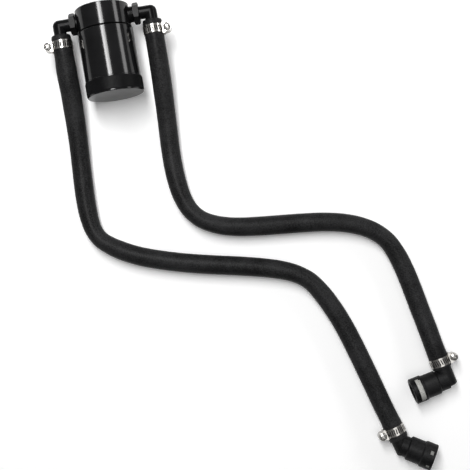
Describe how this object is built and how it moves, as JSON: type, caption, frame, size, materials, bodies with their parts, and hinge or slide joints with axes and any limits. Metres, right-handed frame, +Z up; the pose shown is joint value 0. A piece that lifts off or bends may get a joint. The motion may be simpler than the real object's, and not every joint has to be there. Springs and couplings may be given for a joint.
{
  "type": "oil catch can",
  "caption": "Breather oil catch can: a turned can whose reservoir screws off its head, with barbed elbows, clamped rubber hoses and push-on pipe connectors.",
  "frame": {"origin": "on the surface that the part lies on, under the middle of the can's length and midway between its two elbows", "axes": "+Y along the can's axis from the reservoir's bottom to the head's top face, +X across the can from its left port to its right one, +Z up off the surface"},
  "size_m": [0.3757, 0.542, 0.0608],
  "materials": {
    "anodised_body": "black anodised, satin, with a knurled grip band on the reservoir",
    "anodised_fitting": "black anodised, satin to semi-gloss",
    "bare_aluminium": "drawn, bare",
    "stainless": "bright stainless strip and turned parts",
    "wire_gauze": "knitted wire gauze",
    "hose_rubber": "smooth extruded rubber, satin with a fine grain",
    "seal_rubber": "moulded, satin",
    "black_nylon": "moulded, fine eroded texture",
    "pale_nylon": "moulded, natural pale grey",
    "natural_nylon": "moulded, natural"
  },
  "bodies": {
    "root": {"head": "anodised_body", "filter_pad": "wire_gauze", "baffle_plate": "stainless", "baffle_screw": "stainless", "inlet_tube": "bare_aluminium", "elbow_left": "anodised_fitting", "elbow_right": "anodised_fitting", "hose_left": "hose_rubber", "hose_right": "hose_rubber", "clamp_left_can_band": "stainless", "clamp_left_can_housing": "stainless", "clamp_left_end_band": "stainless", "clamp_left_end_housing": "stainless", "clamp_right_can_band": "stainless", "clamp_right_can_housing": "stainless", "clamp_right_end_band": "stainless", "clamp_right_end_housing": "stainless", "square_connector_body": "black_nylon", "square_connector_retainer": "pale_nylon", "square_connector_bushing": "natural_nylon", "square_connector_spacer": "natural_nylon", "square_connector_front_seal": "seal_rubber", "square_connector_rear_seal": "seal_rubber", "angled_connector_body": "black_nylon", "angled_connector_retainer": "pale_nylon", "angled_connector_bushing": "natural_nylon", "angled_connector_spacer": "natural_nylon", "angled_connector_front_seal": "seal_rubber", "angled_connector_rear_seal": "seal_rubber"},
    "seal_ring": {"reservoir_seal": "seal_rubber"},
    "reservoir": {"reservoir": "anodised_body"},
    "clamp_left_can_screw": {"clamp_left_can_screw": "stainless"},
    "clamp_left_end_screw": {"clamp_left_end_screw": "stainless"},
    "clamp_right_can_screw": {"clamp_right_can_screw": "stainless"},
    "clamp_right_end_screw": {"clamp_right_end_screw": "stainless"}
  },
  "joints": [
    {"name": "reservoir_lift", "type": "slide", "parent": "root", "child": "seal_ring", "axis": [0, -1, 0], "range_m": [0, 0.012]},
    {"name": "reservoir_turn", "type": "hinge", "parent": "seal_ring", "child": "reservoir", "pos_m": [-0.0018, 0, 0.0304], "axis": [0, -1, 0], "range_deg": [0, 2160]},
    {"name": "clamp_left_can_screw_turn", "type": "hinge", "parent": "root", "child": "clamp_left_can_screw", "pos_m": [-0.0637, 0.01445, 0.0304], "axis": [0, 0, 1], "continuous": true},
    {"name": "clamp_left_end_screw_turn", "type": "hinge", "parent": "root", "child": "clamp_left_end_screw", "pos_m": [0.21416, -0.45179, 0.01205], "axis": [0, 0, 1], "continuous": true},
    {"name": "clamp_right_can_screw_turn", "type": "hinge", "parent": "root", "child": "clamp_right_can_screw", "pos_m": [0.0637, 0.01445, 0.0304], "axis": [0, 0, 1], "continuous": true},
    {"name": "clamp_right_end_screw_turn", "type": "hinge", "parent": "root", "child": "clamp_right_end_screw", "pos_m": [0.30281, -0.38141, 0.0137], "axis": [0, 0, 1], "continuous": true}
  ],
  "couplings": [
    {"joint": "reservoir_lift", "follows": "reservoir_turn", "m_per_rad": 0.000318}
  ]
}
